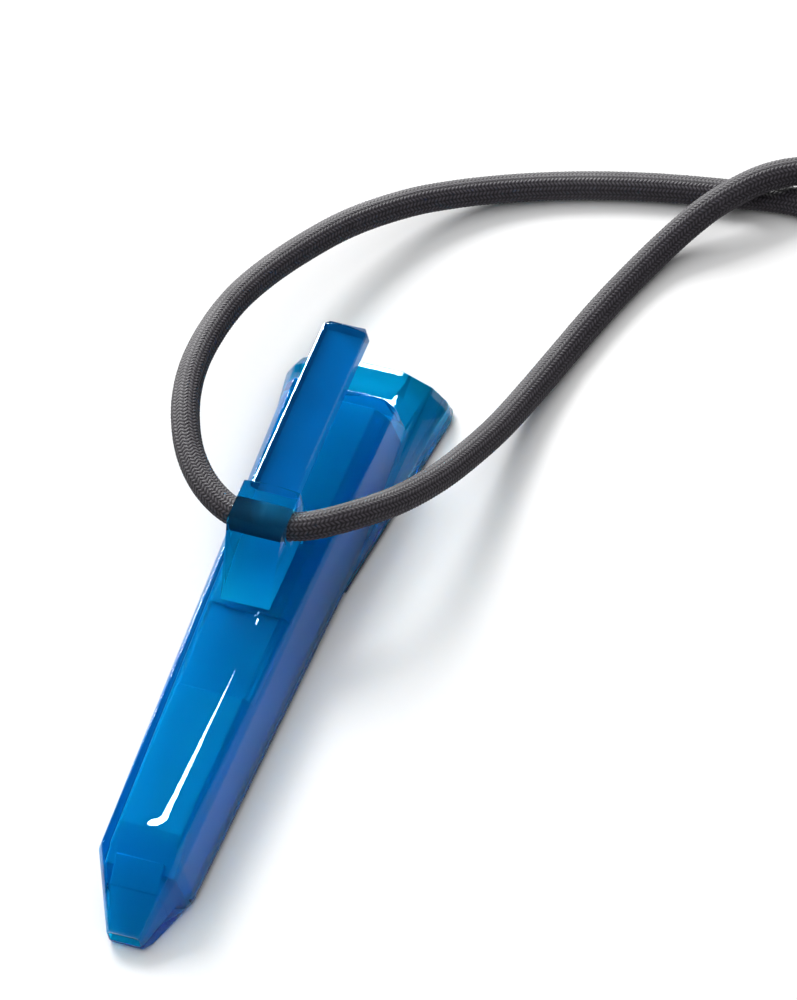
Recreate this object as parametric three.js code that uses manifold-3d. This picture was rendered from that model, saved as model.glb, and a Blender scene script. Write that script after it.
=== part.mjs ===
// Duck call: a translucent faceted body with a clip bar, an elastic neck cord and a slide-out reed insert.
// Millimetres, +Z up. The flat base lies on z = 0, +Y runs from the mouthpiece to the bell, +X to the right.
import * as THREE from 'three';
import { ConvexGeometry } from 'three/addons/geometries/ConvexGeometry.js';
import { mergeVertices } from 'three/addons/utils/BufferGeometryUtils.js';
import Module from 'manifold-3d';

const wasm = await Module();
wasm.setup();

// ---- driving dimensions --------------------------------------------------------------------------
const GAP = 0.3;                 // clearance between neighbouring pieces
const FAR = 80;                  // well outside the call
const HALF_LENGTH = 59;          // mouthpiece end to middle, and middle to bell rim
const WALL = 1.8;                // moulded wall of the shell
const FLOOR = 1.6;               // thickness of the base plate

const BEVEL_Y = -47.5;           // where the mouthpiece's sloping end begins
const TIP_HALF = 3.3;            // half width of the mouthpiece's blunt end
const TIP_TOP = 4.8;             // height of the mouthpiece's blunt end
const TIP_LIFT = 0.6;            // height of its lower edge above the table
const SLOT_HALF = 2.7;           // blowing slot
const SLOT_Z = [1.5, 3.2];
const WELL_HALF = 4.4;           // widening behind the slot
const WELL_Z = [2.0, 8.2];
const BODY_HALF_TIP = 8.4;       // half width of the body beside the mouthpiece
const BODY_HALF_BELL = 11.8;     // half width of the body beside the bell
const TOP_Z_TIP = 13.8;          // height of the flat top beside the mouthpiece
const TOP_Z_BELL = 16.4;         // height of the flat top at its bell end
const TOP_HALF_TIP = 6.8;        // half width of the flat top beside the mouthpiece
const TOP_HALF_BELL = 8.4;       // half width of the flat top at its bell end
const TOP_END_Y = 49.3;          // where the raised top stops, short of the rim
const BASE_BEVEL = 0.7;          // how far the base is drawn in
const FLANK_Z = 2.0;             // height of the flanks' widest line
const SHOULDER_OUT = 0.3;        // bulge of the shoulders
const SHOULDER_DROP = 2.6;       // from the flat top down to the shoulders
const GROOVE_Y = [-41.5, 1.8];   // centres of the thumb groove's round ends
const GROOVE_HALF = [1.9, 2.8];  // half widths of its floor there
const GROOVE_DEPTH = 0.5;

const WING_Y = 18.5;             // where the bell's wings leave the flanks
const BELL_HALF = 15.9;          // half width of the bell rim
const BELL_CROWN = 10.8;         // height of the bell's arch
const LIP_LENGTH = 2.4;          // length of the bevelled lip round the rim
const LIP_INSET = 0.7;           // how far it is drawn in
const THROAT_START = [[8.6, -1], [8.6, 2.2], [4, 4]];            // [half width, height] of the bell's inside
const THROAT_END = [[13.6, -1], [13.6, 4], [11.8, 6.2], [8, 8.6]];
const WAY_HALF = 6.4;            // the straight way that the insert slides in
const WAY_TOP = 6.0;

const CLIP_HALF = 4.2;           // half width of the clip bar
const CLIP_TOP = 26.4;           // height of the clip bar's ridge
const CLIP_UNDER = 21.6;         // height of the clip bar's underside
const CLIP_END_Y = 57.2;         // free end of the clip bar
const CLIP_END_SLOPE = 1.2;      // length of the bevel round that end
const ROOT_START_Y = 3.4;        // foot of the ramp in front of the clip's root
const ROOT_END_Y = 21.5;         // where the clip bar leaves its root
const ROOT_HALF = 5.3;           // half width of the clip's root
const EYE_Y = 16.3;              // centre of the cord eye
const EYE_Z = 22.7;              // height of its centre
const EYE_RADIUS = 2.8;
const CHEEK_DROP = 0.7;          // from the ridge down to the top of the root's side faces
const CREST_DROP = 0.4;          // and to the edges of its crest

const ROOF_FRONT = 4.6;          // thickness of the chamber's roof at the mouthpiece
const FRONT_END_Y = -42;         // where it has thinned to WALL
const STEP_Y = -13.6;            // the roof is thicker again between these two stations
const STEP_END_Y = 3.2;
const ROOF_STEP = 2.7;           // its thickness there

const STOPPER_HALF = 5.6;        // half width of the insert's stopper
const STOPPER_Y0 = 22;
const STOPPER_Y1 = 48;
const STOPPER_Z0 = FLOOR + 0.8;
const STOPPER_Z1 = 5.2;
const BOARD_Y0 = -40;            // mouthpiece end of the tone board
const BOARD_HALF = 4.6;
const BOARD_Z0 = FLOOR + 0.4;
const BOARD_Z1 = 3.2;
const CHEEK_INNER = 4.0;         // inside faces of the two cheeks that hold the wedge
const CHEEK_TOP = 5.4;
const REED_THICK = 0.25;
const REED_END_Y = 15;           // clamped end of both reeds
const LONG_REED_Y0 = -36;        // free ends
const SHORT_REED_Y0 = -30;
const LONG_REED_HALF = 3.6;
const SHORT_REED_HALF = 3.4;
const WEDGE_Y0 = 12;
const WEDGE_Y1 = 20;
const WEDGE_HALF = 3.6;
const SEAL_Y = [27, 40];         // the two seal bands round the stopper
const SEAL_WIDTH = 2.0;
const SEAL_OUTSIDE = { half: 6.0, z0: FLOOR + GAP, z1: 5.6 };
const SEAL_INSIDE = { half: 5.2, z0: 2.7, z1: 4.8 };
const SOUND_BORE = { half: 3.6, z0: 3.3, z1: 4.2 };

const CORD_D = 5.0;              // elastic shock cord
const CORD_R = CORD_D / 2;
const CORD_SIDES = 10;
const COIL_X = 110;              // middle of the stored coil
const COIL_Y = 90;
const COIL_IN = 22.3;            // inner and outer radius of its turns
const COIL_OUT = 32.7;
const COIL_TOP_IN = 25;          // and of the layer lying on them
const COIL_TOP_OUT = 30;
const COIL_HEIGHT = 10.1;
const KNOT_X = 80;
const KNOT_Y = 122;
const KNOT_RADIUS = 6.8;
const KNOT_HALF = 8;

// ---- colours and materials -----------------------------------------------------------------------
const BLUE = { color: 0x0a78bd, roughness: 0.08, metalness: 0 };
const BLUE_DARK = { color: 0x06548f, roughness: 0.1, metalness: 0 };
const REED = { color: 0xdfe6e8, roughness: 0.25, metalness: 0 };
const CORK = { color: 0xb98b5a, roughness: 0.85, metalness: 0 };
const RUBBER = { color: 0x1b1b1d, roughness: 0.7, metalness: 0 };
const CORD = { color: 0x3a383c, roughness: 0.9, metalness: 0 };

// ---- solids --------------------------------------------------------------------------------------
function solid(geometry) {
  const g = geometry.clone();
  g.deleteAttribute('normal');
  g.deleteAttribute('uv');
  const merged = mergeVertices(g, 1e-4);
  return new wasm.Manifold(new wasm.Mesh({
    numProp: 3,
    vertProperties: new Float32Array(merged.attributes.position.array),
    triVerts: new Uint32Array(merged.index.array),
  }));
}

function geometryOf(manifold) {
  const mesh = manifold.getMesh();
  const g = new THREE.BufferGeometry();
  g.setAttribute('position', new THREE.BufferAttribute(new Float32Array(mesh.vertProperties), 3));
  g.setIndex(new THREE.BufferAttribute(new Uint32Array(mesh.triVerts), 1));
  return g;
}

const hull = (points) => solid(new ConvexGeometry(points));

// A section at one station: [half width, height] pairs of its right side, mirrored to the left.
function section(y, pairs) {
  return pairs.flatMap(([x, z]) => [new THREE.Vector3(x, y, z), new THREE.Vector3(-x, y, z)]);
}

function box(x0, x1, y0, y1, z0, z1) {
  const g = new THREE.BoxGeometry(x1 - x0, y1 - y0, z1 - z0);
  g.translate((x0 + x1) / 2, (y0 + y1) / 2, (z0 + z1) / 2);
  return solid(g);
}

// A round bar along X through (y, z).
function crossBar(y, z, radius, halfLength, sides = 28) {
  const g = new THREE.CylinderGeometry(radius, radius, 2 * halfLength, sides);
  g.rotateZ(Math.PI / 2);
  g.translate(0, y, z);
  return solid(g);
}

const along = (y) => (y - BEVEL_Y) / (TOP_END_Y - BEVEL_Y);
const bodyHalf = (y) => THREE.MathUtils.lerp(BODY_HALF_TIP, BODY_HALF_BELL, along(y));
const topHalf = (y) => THREE.MathUtils.lerp(TOP_HALF_TIP, TOP_HALF_BELL, along(y));
const topZ = (y) => THREE.MathUtils.lerp(TOP_Z_TIP, TOP_Z_BELL, along(y));

// The faceted body section: base, flank, shoulder and flat top, drawn in by inset.
function bodySection(y, inset = 0) {
  return section(y, [
    [bodyHalf(y) - BASE_BEVEL - inset, inset],
    [bodyHalf(y) - inset, FLANK_Z + inset],
    [(bodyHalf(y) + topHalf(y)) / 2 + SHOULDER_OUT - inset, topZ(y) - SHOULDER_DROP - inset * 0.5],
    [topHalf(y) - inset * 0.6, topZ(y) - inset],
  ]);
}

// The bell: an arch that grows out of the flanks; inset gives the inside of its wall.
function bellSection(y, inset = 0) {
  const k = (y - WING_Y) / (HALF_LENGTH - LIP_LENGTH - WING_Y);
  const half = THREE.MathUtils.lerp(bodyHalf(WING_Y), BELL_HALF, k);
  return section(y, [
    [half - 0.4 - inset, 0],
    [half - inset, THREE.MathUtils.lerp(1.2, 1.6, k)],
    [half - THREE.MathUtils.lerp(0, 0.8, k) - inset, THREE.MathUtils.lerp(1.6, 4.4, k) - inset * 0.4],
    [half - THREE.MathUtils.lerp(0.4, 2.9, k) - inset, THREE.MathUtils.lerp(1.9, 7.8, k) - inset * 0.8],
    [THREE.MathUtils.lerp(3, 8.2, k) - inset * 0.6, THREE.MathUtils.lerp(2.2, BELL_CROWN, k) - inset],
  ]);
}

const bodyHull = () => hull([...bodySection(BEVEL_Y), ...bodySection(TOP_END_Y)]);
const bellHull = () => {
  const rim = bellSection(HALF_LENGTH - LIP_LENGTH);
  const lip = rim.map((p) => new THREE.Vector3(
    p.x - Math.sign(p.x) * LIP_INSET, HALF_LENGTH, p.z > 1 ? p.z - LIP_INSET : p.z));
  return hull([...bellSection(WING_Y), ...rim, ...lip]);
};
const outline = () => bodyHull().add(bellHull());

// ---- body pieces ---------------------------------------------------------------------------------
const SEAM = FLOOR + GAP;                      // underside of the upper shell
const aboveSeam = () => box(-FAR, FAR, -FAR, FAR, SEAM, FAR);
const MOUTH_END = BEVEL_Y - GAP;               // mouthpiece side of its joint

// The space inside the walls through stations of [y, roof thickness], open below.
function chamberPart(stations) {
  return hull(stations.flatMap(([y, roof]) => [
    ...bodySection(y, WALL).map((p) => p.setZ(Math.max(Math.min(p.z, topZ(y) - roof), 0))),
    ...section(y, [[bodyHalf(y) - WALL, -1]]),
  ]));
}

function upperShell() {
  const front = chamberPart([[BEVEL_Y - 1, ROOF_FRONT], [FRONT_END_Y, WALL], [STEP_Y, WALL]]);
  const middle = chamberPart([[STEP_Y - 0.01, ROOF_STEP], [STEP_END_Y + 0.01, ROOF_STEP]]);
  const rear = chamberPart([[STEP_END_Y, WALL], [TOP_END_Y - WALL, WALL]]);
  const throat = hull([
    ...section(WING_Y + 6, THROAT_START),
    ...section(HALF_LENGTH + 1, THROAT_END),
  ]);
  const insertWay = box(-WAY_HALF, WAY_HALF, WING_Y, HALF_LENGTH + 1, -1, WAY_TOP);
  return outline().intersect(aboveSeam())
    .subtract(front).subtract(middle).subtract(rear)
    .subtract(throat).subtract(insertWay).subtract(thumbGroove());
}

// A long shallow thumb recess in the flat top, narrower towards the mouthpiece, with round ends.
function thumbGroove() {
  const ring = (y, half, z, rise) => {
    const points = [];
    const steps = 10;
    for (let i = 0; i <= steps; i += 1) {
      const a = Math.PI * i / steps;
      points.push(new THREE.Vector3(half * Math.cos(a), y + rise * half * Math.sin(a), z));
    }
    return points;
  };
  const above = 4;
  const flare = 0.8;
  const flatness = [-1, 0.2];
  return hull(GROOVE_Y.flatMap((y, i) => [
    ...ring(y, GROOVE_HALF[i], topZ(y) - GROOVE_DEPTH, flatness[i]),
    ...ring(y, GROOVE_HALF[i] + flare, topZ(y) + above, flatness[i]),
  ]));
}

function basePlate() {
  return outline().intersect(box(-FAR, FAR, BEVEL_Y, FAR, -1, FLOOR));
}

function mouthpiece() {
  const tip = [
    ...section(-HALF_LENGTH, [
      [TIP_HALF - 0.5, TIP_LIFT],
      [TIP_HALF, TIP_LIFT + 0.8],
      [TIP_HALF, TIP_TOP - 1.2],
      [TIP_HALF - 0.7, TIP_TOP],
    ]),
    ...section(-HALF_LENGTH + 1.6, [[TIP_HALF + 0.7, 0]]),
    ...bodySection(MOUTH_END),
  ];
  const slot = hull([
    ...section(-HALF_LENGTH - 1, SLOT_Z.map((z) => [SLOT_HALF, z])),
    ...section(MOUTH_END - 4, WELL_Z.map((z) => [WELL_HALF, z])),
  ]);
  const well = hull([
    ...section(MOUTH_END - 4.2, WELL_Z.map((z) => [WELL_HALF, z])),
    ...section(MOUTH_END + 1, [[WELL_HALF + 1, WELL_Z[0]], [WELL_HALF + 0.2, WELL_Z[1] + 2.4]]),
  ]);
  return hull(tip).subtract(slot).subtract(well);
}

// ---- clip ----------------------------------------------------------------------------------------
function clipRoot() {
  const foot = (y) => topZ(y) + GAP;
  const cheekTop = CLIP_TOP - CHEEK_DROP;
  const crest = (y) => [
    ...section(y, [[CLIP_HALF + 0.5, CLIP_TOP - CREST_DROP]]), new THREE.Vector3(0, y, CLIP_TOP)];
  const ramp = hull([
    ...section(ROOT_START_Y, [[4.6, foot(ROOT_START_Y)], [3.8, foot(ROOT_START_Y) + 0.4]]),
    ...section(EYE_Y - 3.4, [[4.8, foot(EYE_Y - 3.4)], [5.2, EYE_Z - 3.6], [5.2, cheekTop]]),
    ...crest(EYE_Y - 2.4),
    ...section(EYE_Y, [[4.8, foot(EYE_Y)], [5.2, cheekTop]]),
  ]);
  const eyeBlock = hull([
    ...section(EYE_Y - 3.4, [[4.8, foot(EYE_Y - 3.4)], [ROOT_HALF, EYE_Z - 3.2], [ROOT_HALF, cheekTop]]),
    ...section(ROOT_END_Y, [[4.8, foot(ROOT_END_Y)], [ROOT_HALF, EYE_Z - 3.2], [ROOT_HALF, cheekTop]]),
    ...crest(EYE_Y - 2.4),
    ...crest(ROOT_END_Y),
  ]);
  return ramp.add(eyeBlock).subtract(crossBar(EYE_Y, EYE_Z, EYE_RADIUS, 10));
}

function clipArm() {
  const side = CLIP_HALF;
  const start = ROOT_END_Y + GAP;
  const barSection = (y) => [
    ...section(y, [
      [side - 1.0, CLIP_UNDER],
      [side, CLIP_UNDER + 1.0],
      [side, CLIP_TOP - 1.8],
      [side - 0.2, CLIP_TOP - 1.3],
      [side - 0.8, CLIP_TOP - 1.0],
    ]),
    new THREE.Vector3(0, y, CLIP_TOP),
  ];
  const endBevel = [
    ...section(CLIP_END_Y, [[side - 0.9, CLIP_UNDER + 0.6], [side - 0.9, CLIP_TOP - 2.0]]),
  ];
  return hull([...barSection(start), ...barSection(CLIP_END_Y - CLIP_END_SLOPE), ...endBevel]);
}

// ---- reed insert ---------------------------------------------------------------------------------
// A rectangular band round the stopper, grown by clear on every face.
function sealBand(y, clear = 0) {
  const frame = ({ half, z0, z1 }, grow, y0, y1) => box(
    -half - grow, half + grow, y0, y1, z0 - grow, z1 + grow);
  const outer = frame(SEAL_OUTSIDE, clear, y - clear, y + SEAL_WIDTH + clear);
  const inner = frame(SEAL_INSIDE, -clear, y - 1, y + SEAL_WIDTH + 1);
  return outer.subtract(inner);
}

function stopper() {
  const block = box(-STOPPER_HALF, STOPPER_HALF, STOPPER_Y0, STOPPER_Y1, STOPPER_Z0, STOPPER_Z1);
  const { half, z0, z1 } = SOUND_BORE;
  const bore = box(-half, half, STOPPER_Y0 - 1, STOPPER_Y1 + 1, z0, z1);
  return SEAL_Y.reduce((part, y) => part.subtract(sealBand(y, GAP)), block.subtract(bore));
}

function toneBoard() {
  const board = box(-BOARD_HALF, BOARD_HALF, BOARD_Y0, STOPPER_Y0 - GAP, BOARD_Z0, BOARD_Z1);
  const cheeks = [-1, 1].map((side) => {
    const [x0, x1] = [side * CHEEK_INNER, side * BOARD_HALF].sort((a, b) => a - b);
    return box(x0, x1, WEDGE_Y0 - 2, STOPPER_Y0 - GAP, BOARD_Z0, CHEEK_TOP);
  });
  const channel = hull([
    ...section(BOARD_Y0 + 4, [[0.9, BOARD_Z1 - 0.4], [0.9, BOARD_Z1 + 1]]),
    ...section(STOPPER_Y0, [[1.8, BOARD_Z1 - 0.8], [1.8, BOARD_Z1 + 1]]),
  ]);
  return board.add(cheeks[0]).add(cheeks[1]).subtract(channel);
}

// A thin strip with a rounded free end towards the mouthpiece.
function reed(freeY, half, z) {
  const outlineShape = new THREE.Shape();
  outlineShape.moveTo(half, REED_END_Y);
  outlineShape.lineTo(half, freeY + half);
  outlineShape.absarc(0, freeY + half, half, 0, -Math.PI, true);
  outlineShape.lineTo(-half, REED_END_Y);
  const settings = { depth: REED_THICK, bevelEnabled: false, curveSegments: 8 };
  const g = new THREE.ExtrudeGeometry(outlineShape, settings);
  g.translate(0, 0, z);
  return solid(g);
}

const longReed = () => reed(LONG_REED_Y0, LONG_REED_HALF, BOARD_Z1 + GAP);
const shortReed = () => reed(SHORT_REED_Y0, SHORT_REED_HALF, BOARD_Z1 + 2 * GAP + REED_THICK);

function wedge() {
  const z0 = BOARD_Z1 + 3 * GAP + 2 * REED_THICK;
  return hull([
    ...section(WEDGE_Y0, [[WEDGE_HALF, z0], [WEDGE_HALF, z0 + 0.7]]),
    ...section(WEDGE_Y1, [[WEDGE_HALF, z0], [WEDGE_HALF, z0 + 1.2]]),
  ]);
}

// ---- neck cord -----------------------------------------------------------------------------------
// The two strands leave the eye to the left and right; the left one is wound into the coil.
const LEFT_ROUTE = [
  [-0.2, EYE_Y, EYE_Z], [-5.8, 16.5, 22.8], [-11.5, 19.3, 23.3], [-17, 24.8, 23.7], [-21, 32, 23.8],
  [-23.6, 40, 22.8], [-24.7, 48.5, 21], [-24.2, 59, 18.5], [-22.5, 67, 16], [-19, 76, 13.2],
  [-13.5, 86, 10], [-6, 94.7, 6.8], [0, 99.4, 4.9], [7.3, 103.6, 3.4], [15, 106.8, 2.7],
  [24, 109.5, CORD_R], [34, 111.7, CORD_R], [45, 113.5, CORD_R], [59, 115.2, CORD_R], [65.3, 114.5, CORD_R],
  [70.7, 111.5, CORD_R], [74.1, 106.5, CORD_R], [75.8, 100.5, CORD_R],
];
const RIGHT_ROUTE = [
  [0.2, EYE_Y, EYE_Z], [5.8, 16.5, 22.8], [9.5, 17.9, 22.9], [12.6, 20, 22.6], [16, 23.6, 21.1],
  [19.6, 29.4, 18], [22.8, 38, 13.5], [24.8, 46, 9.9], [26.6, 54.6, 6.6], [28.4, 64.5, 4],
  [30.4, 73.4, 2.8], [32.5, 81, CORD_R], [34.9, 88.2, CORD_R], [37.4, 94.4, 2.7], [40.2, 99.6, 3.7],
  [43.2, 103.6, 5.4], [46.6, 107.4, 7.2], [50.2, 111.2, 8.1], [54, 114.9, 8.2], [58, 118, 7.4],
  [62.4, 120.5, 5.8], [67, 121.7, 5], [71.6, 122, 5.6],
];
// From the top of the coil to the knot.
const TAIL_ROUTE = [
  [94.8, 121.3, 7], [92.6, 121.7, 6.8], [90.4, 121.9, 6.8], [88.4, 122, 6.8],
];

function cordTube(route, steps) {
  const profile = new THREE.Shape();
  for (let i = 0; i <= CORD_SIDES; i += 1) {
    const a = 2 * Math.PI * i / CORD_SIDES;
    const method = i === 0 ? 'moveTo' : 'lineTo';
    profile[method](CORD_R * Math.cos(a), CORD_R * Math.sin(a));
  }
  const path = new THREE.CatmullRomCurve3(route.map((p) => new THREE.Vector3(...p)), false, 'centripetal');
  return solid(new THREE.ExtrudeGeometry(profile, { steps, bevelEnabled: false, extrudePath: path }));
}

function coil() {
  const sides = 36;
  const profile = [
    [COIL_IN, 0], [COIL_OUT, 0], [COIL_OUT, CORD_D], [COIL_TOP_OUT, COIL_HEIGHT], [COIL_TOP_IN, COIL_HEIGHT],
    [COIL_IN, CORD_D], [COIL_IN, 0],
  ].map(([r, z]) => new THREE.Vector2(r, z));
  const g = new THREE.LatheGeometry(profile, sides);
  g.rotateX(Math.PI / 2);
  g.translate(COIL_X, COIL_Y, 0);
  return solid(g);
}

// The knot that joins both ends, as a barrel along X that rests on the table.
function knot() {
  const profile = [];
  const steps = 8;
  const sides = 16;
  for (let i = 0; i <= steps; i += 1) {
    const a = Math.PI * (i / steps - 0.5);
    const r = i === 0 || i === steps ? 0 : KNOT_RADIUS * Math.sqrt(Math.cos(a));
    profile.push(new THREE.Vector2(r, KNOT_HALF * Math.sin(a)));
  }
  const g = new THREE.LatheGeometry(profile, sides);
  g.rotateZ(Math.PI / 2);
  g.translate(KNOT_X, KNOT_Y, KNOT_RADIUS);
  return solid(g);
}

// ---- assembly ------------------------------------------------------------------------------------
const pieces = new THREE.Group();

function add(name, manifold, look) {
  const mesh = new THREE.Mesh(geometryOf(manifold), new THREE.MeshStandardMaterial(look));
  mesh.name = name;
  pieces.add(mesh);
}

add('upper_shell', upperShell(), BLUE);
add('base_plate', basePlate(), BLUE);
add('mouthpiece', mouthpiece(), BLUE);
add('clip_root', clipRoot(), BLUE);
add('clip_arm', clipArm(), BLUE);
add('insert_stopper', stopper(), BLUE_DARK);
add('tone_board', toneBoard(), BLUE_DARK);
add('reed_long', longReed(), REED);
add('reed_short', shortReed(), REED);
add('reed_wedge', wedge(), CORK);
add('seal_front', sealBand(SEAL_Y[0]), RUBBER);
add('seal_rear', sealBand(SEAL_Y[1]), RUBBER);
add('cord_left', cordTube(LEFT_ROUTE, 30), CORD);
add('cord_right', cordTube(RIGHT_ROUTE, 26), CORD);
add('cord_tail', cordTube(TAIL_ROUTE, 4), CORD);
add('cord_coil', coil(), CORD);
add('cord_knot', knot(), CORD);

export default pieces;
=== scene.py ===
import math

import bmesh
import bpy
import numpy as np
from mathutils import Matrix, Vector


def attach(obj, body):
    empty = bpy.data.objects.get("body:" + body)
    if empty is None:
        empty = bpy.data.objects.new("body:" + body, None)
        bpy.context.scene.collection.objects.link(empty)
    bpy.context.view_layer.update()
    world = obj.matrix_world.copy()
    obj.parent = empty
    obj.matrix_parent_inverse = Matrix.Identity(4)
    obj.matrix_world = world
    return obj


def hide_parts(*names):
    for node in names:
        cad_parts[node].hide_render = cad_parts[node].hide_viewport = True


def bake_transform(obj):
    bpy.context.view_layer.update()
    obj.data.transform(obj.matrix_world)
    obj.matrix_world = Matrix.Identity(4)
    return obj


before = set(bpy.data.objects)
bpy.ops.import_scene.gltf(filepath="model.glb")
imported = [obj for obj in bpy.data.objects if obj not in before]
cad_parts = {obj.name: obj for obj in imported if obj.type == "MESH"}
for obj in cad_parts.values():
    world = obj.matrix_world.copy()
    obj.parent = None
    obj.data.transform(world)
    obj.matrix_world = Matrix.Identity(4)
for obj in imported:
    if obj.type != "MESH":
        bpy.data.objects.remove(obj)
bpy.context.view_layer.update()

MM = 0.001


def link(obj):
    bpy.context.scene.collection.objects.link(obj)
    return obj


def lerp(a, b, k):
    return a + (b - a) * k


def smooth(x):
    """0 to 1 with no slope at either end."""
    x = min(max(x, 0.0), 1.0)
    return x * x * (3 - 2 * x)


# ---- camera -------------------------------------------------------------------------------------------
CAM_RIGHT = Vector((0.9196, 0.3584, -0.1621)).normalized()
CAM_UP = Vector((-0.2178, 0.8085, 0.5468)).normalized()
CAM_BACK = CAM_RIGHT.cross(CAM_UP).normalized()
CAM_LOOK = Vector((8.08, 45.22, -10.36)) * MM       # point that the middle of the picture looks through
CAM_DISTANCE = 2.4
VIEW_HEIGHT = 0.1754                                 # height of the picture at that point
SENSOR = 36.0


def make_camera():
    cam = bpy.data.cameras.new("camera")
    cam.sensor_width = SENSOR
    cam.lens = SENSOR * CAM_DISTANCE / VIEW_HEIGHT
    cam.clip_start, cam.clip_end = 0.05, 20.0
    obj = link(bpy.data.objects.new("camera", cam))
    up = CAM_BACK.cross(CAM_RIGHT)
    rotation = Matrix((CAM_RIGHT, up, CAM_BACK)).transposed()
    obj.matrix_world = Matrix.Translation(CAM_LOOK + CAM_BACK * CAM_DISTANCE) @ rotation.to_4x4()
    bpy.context.scene.camera = obj


make_camera()

# ---- cord ---------------------------------------------------------------------------------------------
CORD_D = 5.0
CORD_R = CORD_D / 2
COIL_X, COIL_Y = 110.0, 90.0
COIL_R_OUT, COIL_R_IN, COIL_R_TOP = 30.0, 25.0, 27.5
COIL_Z_TOP = 6.83                                    # a turn lying in the valley between two others
COIL_Z_OVER = 7.55                                   # and where it lies straight on one
COIL_START, COIL_END, COIL_STEP = 206, 1168, 13      # degrees round the coil
GO_IN = (470, 72)                                    # from where, and over how many degrees, it turns inward
CLIMB = (772, 62)                                    # where it climbs on to the turns below
GO_OUT = (820, 90)                                   # where it comes out over the valley between them
SETTLE = (905, 40)                                   # where it sinks into that valley
KNOT = (80.0, 122.0, 6.8)
KNOT_HALF = 8.0

LEFT_ROUTE = [
    (-0.2, 16.3, 22.7), (-5.8, 16.5, 22.8), (-11.5, 19.3, 23.3), (-17, 24.8, 23.7), (-21, 32, 23.8),
    (-23.6, 40, 22.8), (-24.7, 48.5, 21), (-24.2, 59, 18.5), (-22.5, 67, 16), (-19, 76, 13.2),
    (-13.5, 86, 10), (-6, 94.7, 6.8), (0, 99.4, 4.9), (7.3, 103.6, 3.4), (15, 106.8, 2.7),
    (24, 109.5, 2.5), (34, 111.7, 2.5), (45, 113.5, 2.5), (59, 115.2, 2.5), (65.3, 114.5, 2.5),
    (70.7, 111.5, 2.5), (74.1, 106.5, 2.5), (75.8, 100.5, 2.5), (77.6, 93.2, 2.5), (79.8, 85.8, 2.5),
]
RIGHT_ROUTE = [
    (0.2, 16.3, 22.7), (5.8, 16.5, 22.8), (9.5, 17.9, 22.9), (12.6, 20, 22.6), (16, 23.6, 21.1),
    (19.6, 29.4, 18), (22.8, 38, 13.5), (24.8, 46, 9.9), (26.6, 54.6, 6.6), (28.4, 64.5, 4),
    (30.4, 73.4, 2.8), (32.5, 81, 2.5), (34.9, 88.2, 2.5), (37.4, 94.4, 2.7), (40.2, 99.6, 3.7),
    (43.2, 103.6, 5.4), (46.6, 107.4, 7.2), (50.2, 111.2, 8.1), (54, 114.9, 8.2), (58, 118, 7.4),
    (62.4, 120.5, 5.8), (67, 121.7, 5), (71.6, 122, 5.6), (74.5, 122, 6.2),
]
TAIL_ROUTE = [
    (104.5, 117.8, 7.4), (100.6, 118.9, 7.65), (97.4, 120.3, 7.4), (94.8, 121.3, 7), (92.6, 121.7, 6.8),
    (90.4, 121.9, 6.8), (88.4, 122, 6.8), (85.5, 122, 6.8),
]


def coil_points():
    """The hidden length: two flat turns side by side, then most of a turn lying on them."""
    points = []
    for deg in range(COIL_START, COIL_END + 1, COIL_STEP):
        inward, outward, lift, settle = [smooth((deg - start) / span) for start, span in
                                         (GO_IN, GO_OUT, CLIMB, SETTLE)]
        radius = COIL_R_OUT + (COIL_R_IN - COIL_R_OUT) * inward + (COIL_R_TOP - COIL_R_IN) * outward
        z = CORD_R + (COIL_Z_OVER - CORD_R) * lift + (COIL_Z_TOP - COIL_Z_OVER) * settle
        a = math.radians(deg)
        points.append((COIL_X + radius * math.cos(a), COIL_Y + radius * math.sin(a), z))
    return points


def catmull(points, step):
    """Centripetal Catmull-Rom through the points, resampled to an even step."""
    p = np.array(points, float)
    p = np.vstack([2 * p[0] - p[1], p, 2 * p[-1] - p[-2]])
    fine = []
    for i in range(1, len(p) - 2):
        p0, p1, p2, p3 = p[i - 1:i + 3]
        t0 = 0.0
        t1 = t0 + np.linalg.norm(p1 - p0) ** 0.5
        t2 = t1 + np.linalg.norm(p2 - p1) ** 0.5
        t3 = t2 + np.linalg.norm(p3 - p2) ** 0.5
        t = np.linspace(t1, t2, 40, endpoint=False)[:, None]
        a1 = (t1 - t) / (t1 - t0) * p0 + (t - t0) / (t1 - t0) * p1
        a2 = (t2 - t) / (t2 - t1) * p1 + (t - t1) / (t2 - t1) * p2
        a3 = (t3 - t) / (t3 - t2) * p2 + (t - t2) / (t3 - t2) * p3
        b1 = (t2 - t) / (t2 - t0) * a1 + (t - t0) / (t2 - t0) * a2
        b2 = (t3 - t) / (t3 - t1) * a2 + (t - t1) / (t3 - t1) * a3
        fine.append((t2 - t) / (t2 - t1) * b1 + (t - t1) / (t2 - t1) * b2)
    fine = np.vstack([*fine, p[-2][None]])
    s = np.concatenate([[0], np.cumsum(np.linalg.norm(np.diff(fine, axis=0), axis=1))])
    n = max(int(round(s[-1] / step)), 8)
    even = np.linspace(0, s[-1], n + 1)
    return np.column_stack([np.interp(even, s, fine[:, k]) for k in range(3)]), s[-1]


STITCH = 0.7                                         # length of one stitch along the cord
ROWS = 20                                            # rows of stitches round the cord
RINGS_PER_STITCH = 4
SIDES = 60
STITCH_DEPTH = 0.13
STITCH_LEAN = 0.8                                    # how far a stitch slants over the width of its row
CROWN_RISE = 0.06                                    # the crowns stand a little proud of the cord's radius
PATH_EVERY = 6                                       # rings from one point of the declared path to the next


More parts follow.
